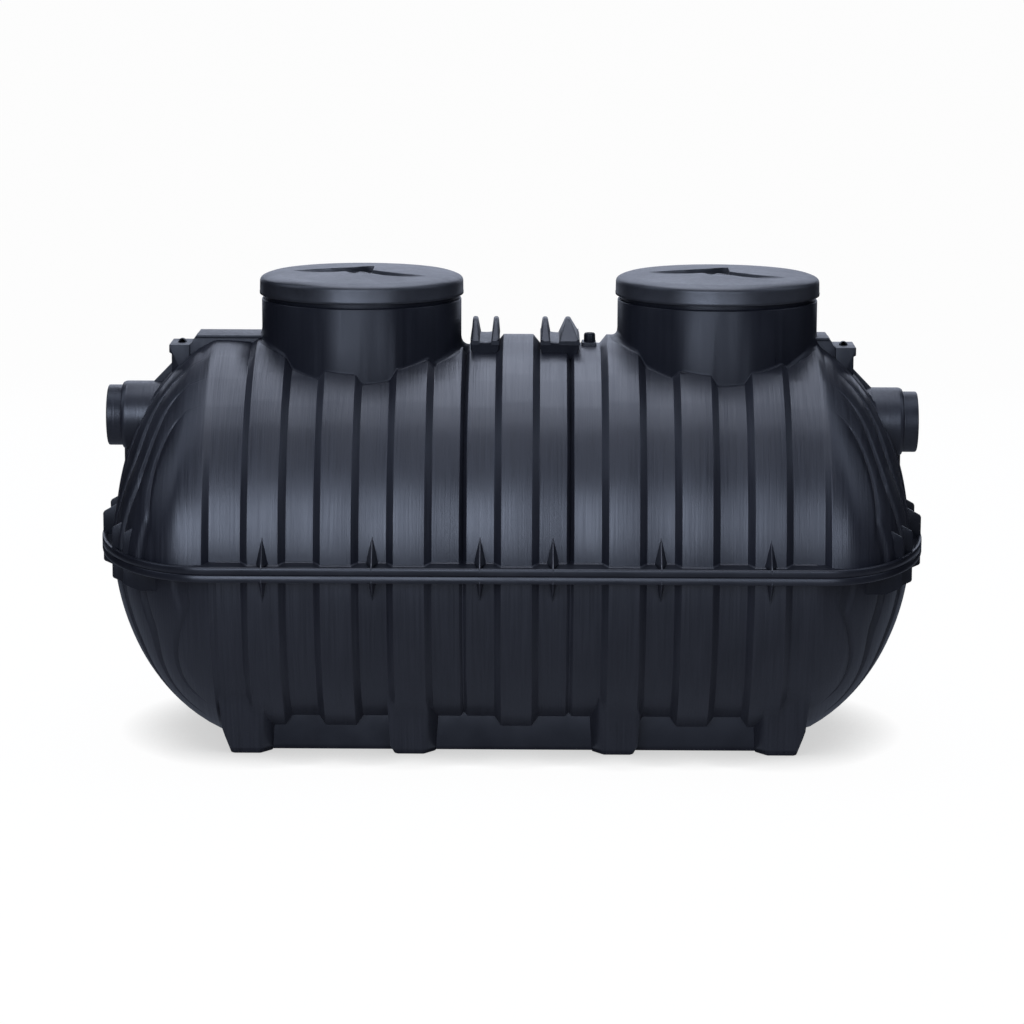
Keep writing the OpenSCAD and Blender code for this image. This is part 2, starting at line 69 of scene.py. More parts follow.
# flange, necks, stubs and what stands on the crest
FLANGE_HALF_W, FLANGE_HALF_L, FLANGE_T = 0.655, 1.219, 0.022
NECKS = {"inlet": -0.447, "outlet": 0.605}  # the necks' places along X
NECK_R, NECK_TOP, COLLAR_R, COLLAR_TOP = 0.295, 1.303, 0.283, 1.358
STUB_Z = {"inlet": 0.947, "outlet": 0.937}
SADDLE_HALF_W, SADDLE_TOP, POST_TOP = 0.070, 1.196, 1.167


def smooth(t):
    t = min(1.0, max(0.0, t))
    return t * t * (3 - 2 * t)


def band_r(k):
    return BAND_R if LEVELS[k] else LOW_R


def band_len(k):
    return RAISED_LEN if LEVELS[k] else LOW_LEN


def band_end(k):
    return RAISED_LEN / 2 if k == 0 else band_end(k - 1) + band_len(k)


RUN_END = band_end(len(LEVELS) - 1)
EDGE = {end: RUN_END + SIGN[end] * SHIFT for end in ENDS}  # where the last band stops at each end


def dome_radius(x, curve):
    """Radius of a domed end's curve at the distance x from the middle."""
    t = (x - curve[0]) / curve[1]
    return curve[2] * math.sqrt(max(0.0, 1 - t * t))


def rim(end, curve):
    """(x, radius) of the place where a domed end's curve leaves the last band."""
    r = dome_radius(EDGE[end], curve)
    if r > BAND_R:
        return curve[0] + curve[1] * math.sqrt(1 - (BAND_R / curve[2]) ** 2), BAND_R
    return EDGE[end], r


def half_run():
    """Corners (x, radius) of the bands from the middle of the run to its end."""
    pts = []
    for k in range(len(LEVELS) - 1):
        x, a, b = band_end(k), band_r(k), band_r(k + 1)
        if a != b:
            pts += [(x - SLOPE / 2, a), (x + SLOPE / 2, b)]
        else:
            pts += [(x - SLOPE / 2, a), (x, a - GROOVE), (x + SLOPE / 2, a)]
    return pts + [(RUN_END - SLOPE, LOW_R)]


def rounded(pts, radius, steps):
    """A polyline with its corners rounded, but for straight places and the bottoms of V grooves."""
    straight, groove = math.pi - 0.02, 1.2
    out = [pts[0]]
    for a, b, c in zip(pts, pts[1:], pts[2:]):
        a, b, c = Vector(a), Vector(b), Vector(c)
        u, v = a - b, c - b
        turn = u.angle(v)
        if turn > straight or turn < groove:
            out.append(tuple(b))
            continue
        cut = min(radius / math.tan(turn / 2), 0.45 * u.length, 0.45 * v.length)
        p, q = b + u.normalized() * cut, b + v.normalized() * cut
        for i in range(steps + 1):
            t = i / steps
            out.append(tuple((1 - t) ** 2 * p + 2 * t * (1 - t) * b + t * t * q))
    return out + [pts[-1]]


def barrel_profile(curve, inset=0.0, radius=CORNER_R, steps=3):
    """(x, radius) along the whole run of bands, with rounded corners."""
    right = [(x + SHIFT, r) for x, r in half_run()]
    left = [(SHIFT - x, r) for x, r in reversed(half_run())]
    xi, ri = rim("inlet", curve)
    xo, ro = rim("outlet", curve)
    start = [(-xi, ri)] + ([(-EDGE["inlet"], ri)] if xi > EDGE["inlet"] + 0.001 else [])
    stop = ([(EDGE["outlet"], ro)] if xo > EDGE["outlet"] + 0.001 else []) + [(xo, ro)]
    corners = start + left + right + stop
    if curve is LOWER:
        corners = [(x, max(r, LOW_R - LOWER_GROOVE)) for x, r in corners]
    return [(x, r - inset) for x, r in rounded(corners, radius, steps)]


UPPER_PROFILE = barrel_profile(UPPER)
LOWER_PROFILE = barrel_profile(LOWER)


def shell_radius(x, profile, curve):
    """Radius of the shell at x."""
    if x < profile[0][0] or x > profile[-1][0]:
        return dome_radius(abs(x), curve)
    for (xa, ra), (xb, rb) in zip(profile, profile[1:]):
        if xa <= x <= xb:
            return ra if xb == xa else ra + (rb - ra) * (x - xa) / (xb - xa)


def over_flange(phi):
    """Angle over the flange, on the nearer side, of an angle across the whole half section."""
    return min(phi, math.pi - phi)


def crest_rise(phi):
    """How far the ends' crest stands up at an angle over the flange."""
    return CREST_RISE * smooth((phi - FLANK_TOP) / CREST_SPAN)


def raised(x, phi):
    """How far the last low band stands up towards the crest."""
    end = "outlet" if x > 0 else "inlet"
    return crest_rise(phi) * smooth((abs(x) - EDGE[end] + LOW_LEN) / CREST_RUN)


def end_radius(x, phi, end):
    """Radius of the upper shell's end, at an angle over the flange: level with the crest, proud of it beside."""
    flank = 1.0 - smooth(phi / FLANK_TOP)
    start = UPPER[0] + FLANK_START * flank + SIGN[end] * 0.5 * SHIFT * flank
    tip = UPPER[0] + UPPER[1]
    big = UPPER[2] + (FLANK_R - UPPER[2]) * flank
    power = 2.0 + FLANK_POWER * flank
    t = max(0.0, (x - start) / (tip - start))
    r = big * max(0.0, 1 - t ** power) ** (1 / power)
    shoulder = max(0.0, 1.0 - phi / SHOULDER_TOP)
    cap = LOW_R + crest_rise(phi) + (BAND_R - LOW_R) * shoulder
    return 0.5 * (r + cap - math.sqrt((r - cap) ** 2 + 0.00008)) + 0.0022  # the smaller of both, with a soft change


def end_x(r, phi, end, lo):
    """Where the upper shell's end has the given radius."""
    hi = UPPER[0] + UPPER[1]
    for _ in range(22):
        mid = 0.5 * (lo + hi)
        lo, hi = (mid, hi) if end_radius(mid, phi, end) > r else (lo, mid)
    return 0.5 * (lo + hi)


def upper_radius(x, phi):
    """Radius of the upper shell at x and at an angle over the flange."""
    end = "outlet" if x > 0 else "inlet"
    u = (abs(x) - EDGE[end] - END_WALL) / END_WALL_RUN
    low = LOW_R + raised(x, phi)
    if u > 0:
        return low + (end_radius(abs(x), phi, end) - low) * min(1.0, u)
    if abs(x) > EDGE[end] - BAND_STOP:
        return low
    return shell_radius(x, UPPER_PROFILE, UPPER) + low - LOW_R


def crest(x, y, inset=0.0):
    """Height of the upper shell's surface over a place."""
    r = BAND_R
    for _ in range(4):
        r = upper_radius(x, math.acos(min(1.0, abs(y) / r)))
    r -= inset
    return AXIS + math.sqrt(max(0.0, r * r - y * y))


# ---------------------------------------------------------------- mesh building
class Shape:
    """Corners and faces of a piece while it is being built."""

    def __init__(self):
        self.verts, self.faces = [], []

    def grid(self, rows, closed=False, flip=False):
        """Quads between rows of points."""
        base, n = len(self.verts), len(rows[0])
        for row in rows:
            self.verts += [tuple(p) for p in row]
        for i in range(len(rows) - 1):
            for j in range(n if closed else n - 1):
                a, b = base + i * n + j, base + i * n + (j + 1) % n
                quad = (a, b, b + n, a + n)
                self.faces.append(quad[::-1] if flip else quad)

    def loft(self, rows, flip=False, capped=False):
        """A closed ring carried through rows of points, with flat ends if capped."""
        base, n = len(self.verts), len(rows[0])
        self.grid(rows, closed=True, flip=flip)
        if capped:
            last = base + (len(rows) - 1) * n
            ends = tuple(range(base, base + n)), tuple(range(last, last + n))
            self.faces += [ends[0], ends[1][::-1]] if flip else [ends[0][::-1], ends[1]]

    def turned(self, profile, centre, steps):
        """A closed turned surface from (radius, height) points about a vertical line."""
        cx, cy = centre
        turns = [2 * math.pi * i / steps for i in range(steps)]
        self.grid([[(cx + r * math.cos(a), cy + r * math.sin(a), z) for a in turns] for r, z in profile], closed=True)

    def prism(self, outline, lo, hi, axis):
        """A closed outline carried along an axis; the outline holds the other two coordinates in order."""
        def put(p, h):
            return {"x": (h, p[0], p[1]), "y": (p[0], h, p[1]), "z": (p[0], p[1], h)}[axis]
        self.loft([[put(p, lo) for p in outline], [put(p, hi) for p in outline]], capped=True)

    def box(self, lo, hi):
        self.prism([(lo[0], lo[1]), (hi[0], lo[1]), (hi[0], hi[1]), (lo[0], hi[1])], lo[2], hi[2], "z")

    def add(self, other):
        base = len(self.verts)
        self.verts += other.verts
        self.faces += [tuple(i + base for i in f) for f in other.faces]


def make(name, shape, body, material, replaces=(), bevel=0.0, sharp=38, mirror_x=False, mirror_y=False,
         flip_out=False):
    """A piece from a shape: welded, its sharp edges rounded, smooth shaded, riding on its body."""
    mesh = bpy.data.meshes.new(name)
    mesh.from_pydata([Vector(v) for v in shape.verts], [], shape.faces)
    bm = bmesh.new()
    bm.from_mesh(mesh)
    bmesh.ops.remove_doubles(bm, verts=bm.verts, dist=0.00005)
    bmesh.ops.dissolve_degenerate(bm, edges=bm.edges, dist=0.00002)
    if mirror_x or mirror_y:
        for v in bm.verts:
            v.co.x *= -1 if mirror_x else 1
            v.co.y *= -1 if mirror_y else 1
    if bevel:
        bmesh.ops.recalc_face_normals(bm, faces=bm.faces)
        edges = [e for e in bm.edges if len(e.link_faces) == 2 and e.calc_face_angle(0) > 0.35]
        bmesh.ops.bevel(bm, geom=edges, offset=bevel, segments=2, profile=0.6, affect="EDGES", clamp_overlap=True)
    elif flip_out:
        bmesh.ops.recalc_face_normals(bm, faces=bm.faces)
    elif mirror_x != mirror_y:
        bmesh.ops.reverse_faces(bm, faces=bm.faces)
    bm.to_mesh(mesh)
    bm.free()
    mesh.shade_smooth()
    mesh.set_sharp_from_angle(angle=math.radians(sharp))
    obj = bpy.data.objects.new(name, mesh)
    bpy.context.scene.collection.objects.link(obj)
    obj.data.materials.append(material)
    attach(obj, body)
    if replaces:
        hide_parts(*replaces)


# ---------------------------------------------------------------- materials
def plastic(name, dark, light, rough, streaks=1.0, along=(170.0, 4.0, 4.0), gloss=0.5, drawn_bump=0.0012):
    """Black moulded plastic: drawn streaks and soft clouds in colour, gloss and relief, and a fine grain."""
    mat = bpy.data.materials.new(name)
    mat.use_nodes = True
    nodes, links = mat.node_tree.nodes, mat.node_tree.links
    shader = nodes["Principled BSDF"]
    shader.inputs["IOR"].default_value = 1.5
    shader.inputs["Specular IOR Level"].default_value = gloss
    coord = nodes.new("ShaderNodeTexCoord")

    def noise(scale_xyz, detail, roughness=0.5):
        mapping = nodes.new("ShaderNodeMapping")
        mapping.inputs["Scale"].default_value = scale_xyz
        links.new(coord.outputs["Object"], mapping.inputs["Vector"])
        tex = nodes.new("ShaderNodeTexNoise")
        tex.inputs["Scale"].default_value = 1.0
        tex.inputs["Detail"].default_value = detail
        tex.inputs["Roughness"].default_value = roughness
        links.new(mapping.outputs["Vector"], tex.inputs["Vector"])
        return tex.outputs["Fac"]

    def math_node(op, a, b):
        node = nodes.new("ShaderNodeMath")
        node.operation = op
        for i, v in enumerate((a, b)):
            if isinstance(v, float):
                node.inputs[i].default_value = v
            else:
                links.new(v, node.inputs[i])
        return node.outputs[0]

    def bump(height, strength, distance):
        node = nodes.new("ShaderNodeBump")
        node.inputs["Strength"].default_value = strength
        node.inputs["Distance"].default_value = distance
        links.new(height, node.inputs["Height"])
        return node

    drawn = noise(along, 3.0, 0.6)
    cloudy = noise((5.0, 5.0, 4.0), 4.0, 0.55)
    share = 0.6 * streaks
    tone = math_node("ADD", math_node("MULTIPLY", drawn, share), math_node("MULTIPLY", cloudy, 1.0 - share))
    ramp = nodes.new("ShaderNodeValToRGB")
    for e, position, colour in zip(ramp.color_ramp.elements, (0.30, 0.72), (dark, light)):
        e.position, e.color = position, (*colour, 1)
    links.new(tone, ramp.inputs["Fac"])
    links.new(ramp.outputs["Color"], shader.inputs["Base Color"])
    rough_map = nodes.new("ShaderNodeMapRange")
    for socket, value in (("From Min", 0.3), ("From Max", 0.7), ("To Min", rough - 0.08), ("To Max", rough + 0.10)):
        rough_map.inputs[socket].default_value = value
    links.new(tone, rough_map.inputs["Value"])
    links.new(rough_map.outputs["Result"], shader.inputs["Roughness"])
    grain = bump(noise((900.0, 900.0, 900.0), 2.0), 0.12, 0.0004)
    relief = bump(drawn, 0.6, drawn_bump)
    links.new(grain.outputs["Normal"], relief.inputs["Normal"])
    links.new(relief.outputs["Normal"], shader.inputs["Normal"])
    return mat


shell_mat = plastic("moulding_black", (0.0056, 0.0060, 0.0086), (0.0100, 0.0108, 0.0155), 0.39)
rim_mat = plastic("rim_black", (0.0050, 0.0054, 0.0078), (0.0085, 0.0092, 0.0130), 0.36, streaks=0.4,
                  along=(14.0, 14.0, 14.0), gloss=0.4, drawn_bump=0.0003)
neck_mat = plastic("neck_black", (0.0050, 0.0054, 0.0076), (0.0080, 0.0087, 0.0120), 0.34, streaks=0.8,
                   along=(60.0, 60.0, 2.0), gloss=0.17, drawn_bump=0.0002)
lid_mat = plastic("cover_black", (0.0085, 0.0090, 0.0112), (0.0135, 0.0144, 0.0180), 0.40, streaks=0.5,
                  along=(60.0, 60.0, 60.0), gloss=0.5, drawn_bump=0.0003)


# ---------------------------------------------------------------- shells
# half of a dome groove's section: offset in half widths, share of its depth
HALF_GROOVE = [(-1.15, 0.0), (-1.0, 0.05), (-0.93, 0.20), (-0.86, 0.48), (-0.78, 0.78), (-0.70, 0.94), (-0.60, 1.0)]
GROOVE_SECTION = HALF_GROOVE + [(0.0, 1.0)] + [(-offset, share) for offset, share in reversed(HALF_GROOVE)]
GRID_R = 0.595                    # radius for which the columns of the ends' grid are laid out
FAN, FAN_FALL = 1.26, 0.36        # how far the grooves spread by the flange, and how much less by the crest
FAN_LAST, FAN_REST = 0.46, 0.135  # columns past this place share out the rest of the side


def columns():
    """Columns of the ends' grid: (groove's centre or None, offset in half widths, share of depth, place)."""
    cols = [(None, 0, 0, -GRID_R * math.cos(math.radians(a * 3.1))) for a in range(13)]
    for k in (-4, -3, -2, -1):
        cols += [(k * PITCH, offset, share, None) for offset, share in GROOVE_SECTION]
        if k < -1:
            cols.append((None, 0, 0, (k + 0.5) * PITCH))
    mirrored = [(None if c is None else -c, -offset, share, None if place is None else -place)
                for c, offset, share, place in reversed(cols)]
    return cols + [(None, 0, 0, y) for y in (-0.04, 0.0, 0.04)] + mirrored


def fan(y, v):
    """A column's place at the share v of the way from the flange to the crest."""
    f = FAN - FAN_FALL * smooth((v - 0.45) / 0.45)
    a = abs(y)
    a = a * f if a < FAN_LAST else FAN_LAST * f + (a - FAN_LAST) * (GRID_R - FAN_LAST * f) / FAN_REST
    return math.copysign(a, y)


def column_y(col, v):
    centre, offset, _, place = col
    if centre is None:
        return fan(place, v)
    narrowing = 1.0 - 0.85 * smooth((v - 0.55) / 0.43)
    return fan(centre, v) + offset * DOME_GROOVE_HALF * narrowing


COLS = columns()
PHIS = [math.acos(max(-1.0, min(1.0, -column_y(c, 1.0) / GRID_R))) for c in COLS]
ROWS = [i / 26 for i in range(27)]


def dome_rows(end, curve):
    """Rows of points (x, y, height over the axis) of a domed end, from the barrel down to the flange."""
    upper = curve is UPPER
    x_rim, r_rim = rim(end, curve)
    if upper:
        x_rim = EDGE[end] + DOME_START
    rows = []
    for v in reversed(ROWS):
        row = []
        fade = 1.0 - smooth((v - 0.76) / 0.22)  # the grooves run out towards the crest
        to_rim = smooth((v - 0.9) / 0.1)        # and the columns meet the barrel's own
        for col, phi in zip(COLS, PHIS):
            top = end_radius(x_rim, over_flange(phi), end) if upper else r_rim
            y = column_y(col, v) * top / GRID_R
            y = (1 - to_rim) * y - to_rim * top * math.cos(phi)
            y = max(-top, min(top, y))
            h = v * math.sqrt(max(0.0, top * top - y * y))
            r = math.hypot(y, h)
            groove = DOME_GROOVE * col[2] * fade
            slant = math.sqrt(max(0.0, 1 - (r / curve[2]) ** 2))
            if v == 1.0:
                x = x_rim
            elif upper:
                x = end_x(r, math.atan2(h, abs(y)), end, x_rim) - groove * slant
            else:
                x = curve[0] + (curve[1] - groove) * slant
            row.append((SIGN[end] * x, y, h))
        rows.append(row)
    return rows


def across(x, radii, phis, side=1):
    """A row of points over the upper half section at x, or under the lower one."""
    return [(x, -r * math.cos(p), AXIS + side * r * math.sin(p)) for r, p in zip(radii, phis)]


def end_wall_rows(end, phis):
    """Rows over the slope between the last band and an upper end."""
    places = [SIGN[end] * (EDGE[end] + d) for d in END_WALL_STEPS + (DOME_START,)]
    return [across(x, [upper_radius(x, over_flange(p)) for p in phis], phis) for x in places]


def barrel_rows(upper, inset, phis):
    """Rows of points along the bands of the upper or the lower barrel."""
    if inset:
        profile = barrel_profile(UPPER if upper else LOWER, inset, 0.005, 1)
    else:
        profile = UPPER_PROFILE if upper else LOWER_PROFILE
    if not upper:
        return [across(x, [r] * len(phis), phis, -1) for x, r in profile]
    profile = [(x, r) for x, r in profile if BAND_STOP - EDGE["inlet"] < x < EDGE["outlet"] - BAND_STOP]
    rows = [across(x, [r + raised(x, over_flange(p)) for p in phis], phis) for x, r in profile]
    if inset:
        return rows
    return end_wall_rows("inlet", phis)[::-1] + rows + end_wall_rows("outlet", phis)


def inner_dome_rows(end, curve, phis):
    """Rows of the inner skin of a domed end, which stays plain behind the grooves."""
    side = 1 if curve is UPPER else -1
    x_rim, r_rim = (EDGE[end], LOW_R - 0.004) if curve is UPPER else rim(end, curve)
    reach, big = curve[1] - DOME_GROOVE - WALL, curve[2] - WALL
    start = math.acos(min(1, (r_rim - WALL) / big))
    rows = []
    for i in range(13):
        a = start + (math.pi / 2 - start) * i / 12
        x = curve[0] + reach * math.sin(a) if i else x_rim
        rows.append(across(SIGN[end] * x, [big * math.cos(a)] * len(phis), phis, side))
    return rows


def cut_hole(shape, inside, snap):
    """Takes out the faces whose corners all lie in a hole, and draws the rest's corners out to its edge."""
    gone = [inside(v) for v in shape.verts]
    shape.faces = [f for f in shape.faces if not all(gone[i] for i in f)]
    for i in {i for f in shape.faces for i in f}:
        if gone[i]:
            shape.verts[i] = snap(shape.verts[i])


def cut_neck_hole(shape, cx, inset):
    hole = NECK_R - 0.006

    def inside(v):
        return v[2] > 0.9 and math.hypot(v[0] - cx, v[1]) < hole

    def snap(v):
        d = max(1e-6, math.hypot(v[0] - cx, v[1]))
        x, y = cx + (v[0] - cx) * hole / d, v[1] * hole / d
        return x, y, crest(x, y, inset)

    cut_hole(shape, inside, snap)


def cut_stub_hole(shape, end):
    hole, cz = 0.094, STUB_Z[end]

    def inside(v):
        return v[0] * SIGN[end] > 0.93 and math.hypot(v[1], v[2] - cz) < hole

    def snap(v):
        d = max(1e-6, math.hypot(v[1], v[2] - cz))
        return v[0], v[1] * hole / d, cz + (v[2] - cz) * hole / d

    cut_hole(shape, inside, snap)


def shell(upper):
    """Half of the shell: its outer and inner skin, with the holes under the necks and the stubs."""
    curve, side = (UPPER, 1) if upper else (LOWER, -1)
    skins = []
    for inset in (0.0, WALL):
        phis = [math.pi * i / 48 for i in range(49)] if inset else PHIS
        flip = (not upper) != bool(inset)
        shape = Shape()
        shape.grid(barrel_rows(upper, inset, phis), flip=flip)
        for end in ENDS:
            if inset:
                rows = inner_dome_rows(end, curve, phis)
            else:
                rows = [[(x, y, AXIS + side * h) for x, y, h in row] for row in dome_rows(end, curve)]
            shape.grid(rows, flip=flip != (end == "inlet"))
        if upper:
            for end in ENDS:
                cut_neck_hole(shape, NECKS[end], inset)
            for end in ENDS:
                cut_stub_hole(shape, end)
        else:
            shape.verts = [(x, y, max(z, BELLY + inset)) for x, y, z in shape.verts]
        skins.append(shape)
    outer, inner = skins
    outer.add(inner)
    return outer


for half, upper in (("upper", True), ("lower", False)):
    make(half + "_shell", shell(upper), "tank", shell_mat,
         (half + "_barrel", half + "_inlet_end", half + "_outlet_end"), sharp=55)


# ---------------------------------------------------------------- flanges
FACE_DROP = 0.0085                 # the flange's face lies this far under its lip
FACE_FROM, FACE_TO = 0.040, 0.075  # insets between which it comes back up
ROOT_IN, ROOT_RISE = 0.12, 0.004   # it is highest here, by the shell
FLANGE_IN = 0.14                   # how far in the flange's section reaches
FLANGE_SECTION = [  # (inset from the rim, height over the parting plane)
    (0.0022, 0.0006), (0.0, 0.0030), (0.0, FLANGE_T - 0.0045), (0.0010, FLANGE_T - 0.0015), (0.0035, FLANGE_T),
    (0.0095, FLANGE_T), (0.0120, FLANGE_T - 0.0015), (0.0140, FLANGE_T - 0.006), (0.017, FLANGE_T - FACE_DROP),
    (FACE_FROM, FLANGE_T - FACE_DROP), (0.056, FLANGE_T - 0.004), (FACE_TO, FLANGE_T),
    (ROOT_IN, FLANGE_T + ROOT_RISE), (FLANGE_IN, FLANGE_T), (FLANGE_IN, 0.0), (0.004, 0.0)]


def flange_path(steps=40):
    """Points of the rim in plan with their outward directions."""
    pts = []
    for end in ("outlet", "inlet"):
        side, reach = SIGN[end], FLANGE_HALF_L - EDGE[end]
        for i in range(steps + 1):
            a = -math.pi / 2 + math.pi * i / steps
            x, y = EDGE[end] + reach * math.cos(a), FLANGE_HALF_W * math.sin(a)
            n = Vector((math.cos(a) / reach, math.sin(a) / FLANGE_HALF_W)).normalized()
            pts.append((side * x, side * y, side * n.x, side * n.y))
    return pts


def flange(upper):
    """The rim's section carried round."""
    shape, path, side = Shape(), flange_path(), 1 if upper else -1
    rows = [[(x - nx * inset, y - ny * inset, AXIS + side * h) for x, y, nx, ny in path]
            for inset, h in FLANGE_SECTION]
    shape.grid(rows + rows[:1], closed=True, flip=not upper)
    return shape


def face_height(inset):
    """Height of the flange's face over the parting plane."""
    back_up = min(1.0, max(0.0, (inset - FACE_FROM) / (FACE_TO - FACE_FROM)))
    to_root = max(0.0, (inset - FACE_TO) / (ROOT_IN - FACE_TO))
    return FLANGE_T - FACE_DROP + FACE_DROP * back_up + ROOT_RISE * to_root


def root_fillet():
    """A small fillet between the bands and the flanges' faces, on both sides of the barrel."""
    section = ((-0.002, 0.0052), (0.0004, 0.0036), (0.0014, 0.0018), (0.0032, 0.0007), (0.0050, -0.0010))
    shape = Shape()
    for side in (-1, 1):
        for up, profile in ((-1, LOWER_PROFILE), (1, UPPER_PROFILE)):
            rows = []
            for x, r in profile:
                if 0.02 - EDGE["inlet"] < x < EDGE["outlet"] - 0.02:
                    h = face_height(FLANGE_HALF_W - r)
                    y = math.sqrt(r * r - h * h)
                    rows.append([(x, side * (y + dy), AXIS + up * (h + dh)) for dy, dh in section])
            shape.grid(rows)
    return shape


for half, upper in (("upper", True), ("lower", False)):
    make(half + "_flange_rim", flange(upper), "tank", rim_mat, (half + "_flange",), sharp=50)
make("rim_root_fillet", root_fillet(), "tank", shell_mat, flip_out=True, sharp=70)

# ---------------------------------------------------------------- gussets
SIDE_GUSSET_BANDS = (-7, -4, -1, 1, 4, 7)
SIDE_GUSSET_OUT = FLANGE_HALF_W + 0.0012  # the side gussets stand just past the flange's lip
END_GUSSET_YS = (-0.455, -0.360, -0.098, 0.098, 0.360, 0.455)
END_GUSSET_HALF_T = 0.0045


def side_gussets(upper):
    """Thin ribs with a spread foot on the shell, each carried out over the lip."""
    shape = Shape()
    up = 1 if upper else -1
    low, sunk = 0.010, -0.004
    reach, spread = (0.096, 0.0205) if upper else (0.088, 0.0150)
    for side in (-1, 1):
        for k in SIDE_GUSSET_BANDS:
            band = abs(k)
            middle = SHIFT + math.copysign(band_end(band) - band_len(band) / 2, k)
            rows = []
            for i in range(15):
                t = i / 14
                h = low + (reach - low) * t
                root = math.sqrt(band_r(band) ** 2 - h * h)
                out = SIDE_GUSSET_OUT - root
                if h >= FLANGE_T + 0.002:
                    out = out * (1 - t) ** 1.1 + 0.003 * (1 - t)
                foot, ridge = spread * (1 - t) ** 0.85 + 0.0008, 0.0026 * (1 - 0.5 * t)
                # half widths of the rib, with their share of the way out
                half = [(foot, 0.0), (foot * 0.72, 0.22), (foot * 0.38, 0.52), (ridge, 0.84), (ridge * 0.6, 1.0)]
                if h < FLANGE_T - 0.001:
                    half = [(min(w, 0.0042), share) for w, share in half]
                rib = [(-w, share) for w, share in half] + half[::-1]
                rows.append([(middle + w, side * (root + sunk + (out - sunk) * share), AXIS + up * h)
                             for w, share in rib])
            shape.grid(rows, flip=(side > 0) != upper)
    return shape


def rim_x(y, end):
    """How far out the flange's rim lies over a place across an end."""
    return EDGE[end] + (FLANGE_HALF_L - EDGE[end]) * math.sqrt(1 - (y / FLANGE_HALF_W) ** 2)


def end_gussets(upper):
    """Upright plates between the flange's face and the domed ends."""
    shape = Shape()
    up, tall = (1, 1.0) if upper else (-1, 0.80)
    for end in ENDS:
        for y in END_GUSSET_YS:
            x = rim_x(y, end) - 0.003
            outline = [(x - 0.12, 0.012), (x, 0.012), (x, 0.077 * tall), (x - 0.003, 0.083 * tall),
                       (x - 0.042, 0.105 * tall), (x - 0.050, 0.107 * tall), (x - 0.12, 0.107 * tall)]
            shape.prism([(SIGN[end] * a, AXIS + up * h) for a, h in outline],
                        y - END_GUSSET_HALF_T, y + END_GUSSET_HALF_T, "y")
    return shape


for half, upper in (("upper", True), ("lower", False)):
    make(half + "_side_gusset_set", side_gussets(upper), "tank", shell_mat,
         (half + "_side_gussets",), sharp=35)
for half, upper in (("upper", True), ("lower", False)):
    make(half + "_end_gusset_set", end_gussets(upper), "tank", neck_mat,
         (half + "_end_gussets",), bevel=0.0015)


# ---------------------------------------------------------------- necks
def neck(cx, steps=192):
    """A neck from its fillet on the bands up over the collar and down inside."""
    inner = NECK_R - WALL
    columns_round = []
    for i in range(steps):
        a = 2 * math.pi * i / steps
        c, s = math.cos(a), math.sin(a)
        fillet = 0.005 + 0.020 * abs(c) ** 4
        far = NECK_R + fillet
        z_far = crest(cx + far * c, far * s) - 0.0006
        z_near = crest(cx + NECK_R * c, NECK_R * s)
        column = []
        for t in (0, 0.25, 0.5, 0.75, 1.0):
            p, q, w = (1 - t) ** 2, 2 * t * (1 - t), t * t
            column.append((p * far + q * NECK_R + w * NECK_R, p * z_far + q * z_near + w * (z_near + fillet)))
        column += [(NECK_R, NECK_TOP - 0.004), (NECK_R - 0.0012, NECK_TOP - 0.0012), (NECK_R - 0.004, NECK_TOP),
                   (COLLAR_R, NECK_TOP), (COLLAR_R, COLLAR_TOP - 0.002), (COLLAR_R - 0.002, COLLAR_TOP),
                   (COLLAR_R - WALL, COLLAR_TOP), (COLLAR_R - WALL, NECK_TOP - WALL), (inner, NECK_TOP - WALL),
                   (inner, crest(cx + inner * c, inner * s, WALL)),
                   (NECK_R, crest(cx + NECK_R * c, NECK_R * s, WALL))]
        columns_round.append([(cx + r * c, r * s, z) for r, z in column])
    shape = Shape()
    shape.loft(list(zip(*columns_round)))
    return shape


for end in ENDS:
    make(end + "_neck_wall", neck(NECKS[end]), "tank", neck_mat, (end + "_neck",), sharp=50)

# ---------------------------------------------------------------- lids
LID_R, LID_LOW, LID_TOP = 0.3005, 1.3160, 1.3742  # radius, height of the skirt's lower edge and of the crown's edge
LID_EDGE, LID_CROWN = 0.272, 0.0125               # radius of the crowned top and its rise
LID_STEPS = 144
SEAT_GAP, COLLAR_GAP = 0.0003, 0.0055             # the lid's room over the collar and round it

# The grip recess's back wall (x, y, depth): out of the crown from the left into the pocket, back across the
# pocket's corner, and out of the crown to the right.
LEFT_RUN = [(-0.2028, 0.0087, 0.0000), (-0.1687, 0.0123, 0.0045), (-0.1276, 0.0198, 0.0080),
            (-0.0924, 0.0259, 0.0100), (-0.0633, 0.0372, 0.0125), (-0.0283, 0.0485, 0.0160),
            (0.0004, 0.0711, 0.0190), (0.0206, 0.0835, 0.0180), (0.0342, 0.0857, 0.0175)]
CORNER = [(0.0351, 0.0400, 0.0170), (0.0350, 0.0007, 0.0150)]
RIGHT_RUN = [(0.0352, -0.0294, 0.0130), (0.0561, -0.0495, 0.0115), (0.0862, -0.0673, 0.0095),
             (0.1162, -0.0823, 0.0078), (0.1458, -0.0907, 0.0055), (0.1724, -0.0962, 0.0030),
             (0.1948, -0.1000, 0.0000)]
BACK_WALL = LEFT_RUN + CORNER + RIGHT_RUN
CORNER_SIDES = {8: (-1, -1), 9: (-1, 0), 10: (-1, 0), 11: (-1, -0.4)}  # ways down for the points by the corner
# the wall's section: offset from its upper edge, share of its depth
WALL_SECTION = ((0.0, 0.0), (0.0009, 0.10), (0.0017, 0.30), (0.0027, 0.75), (0.0038, 0.97), (0.0055, 1.0))
LEFT_SCOOP, RIGHT_SCOOP = 0.115, 0.085  # how far the scoops run out towards the front
POCKET_Y = -0.074                       # front of the pocket, less its slope
STUD_X, STUD_Y, STUD_R = 0.003, POCKET_Y + 0.022, 0.030


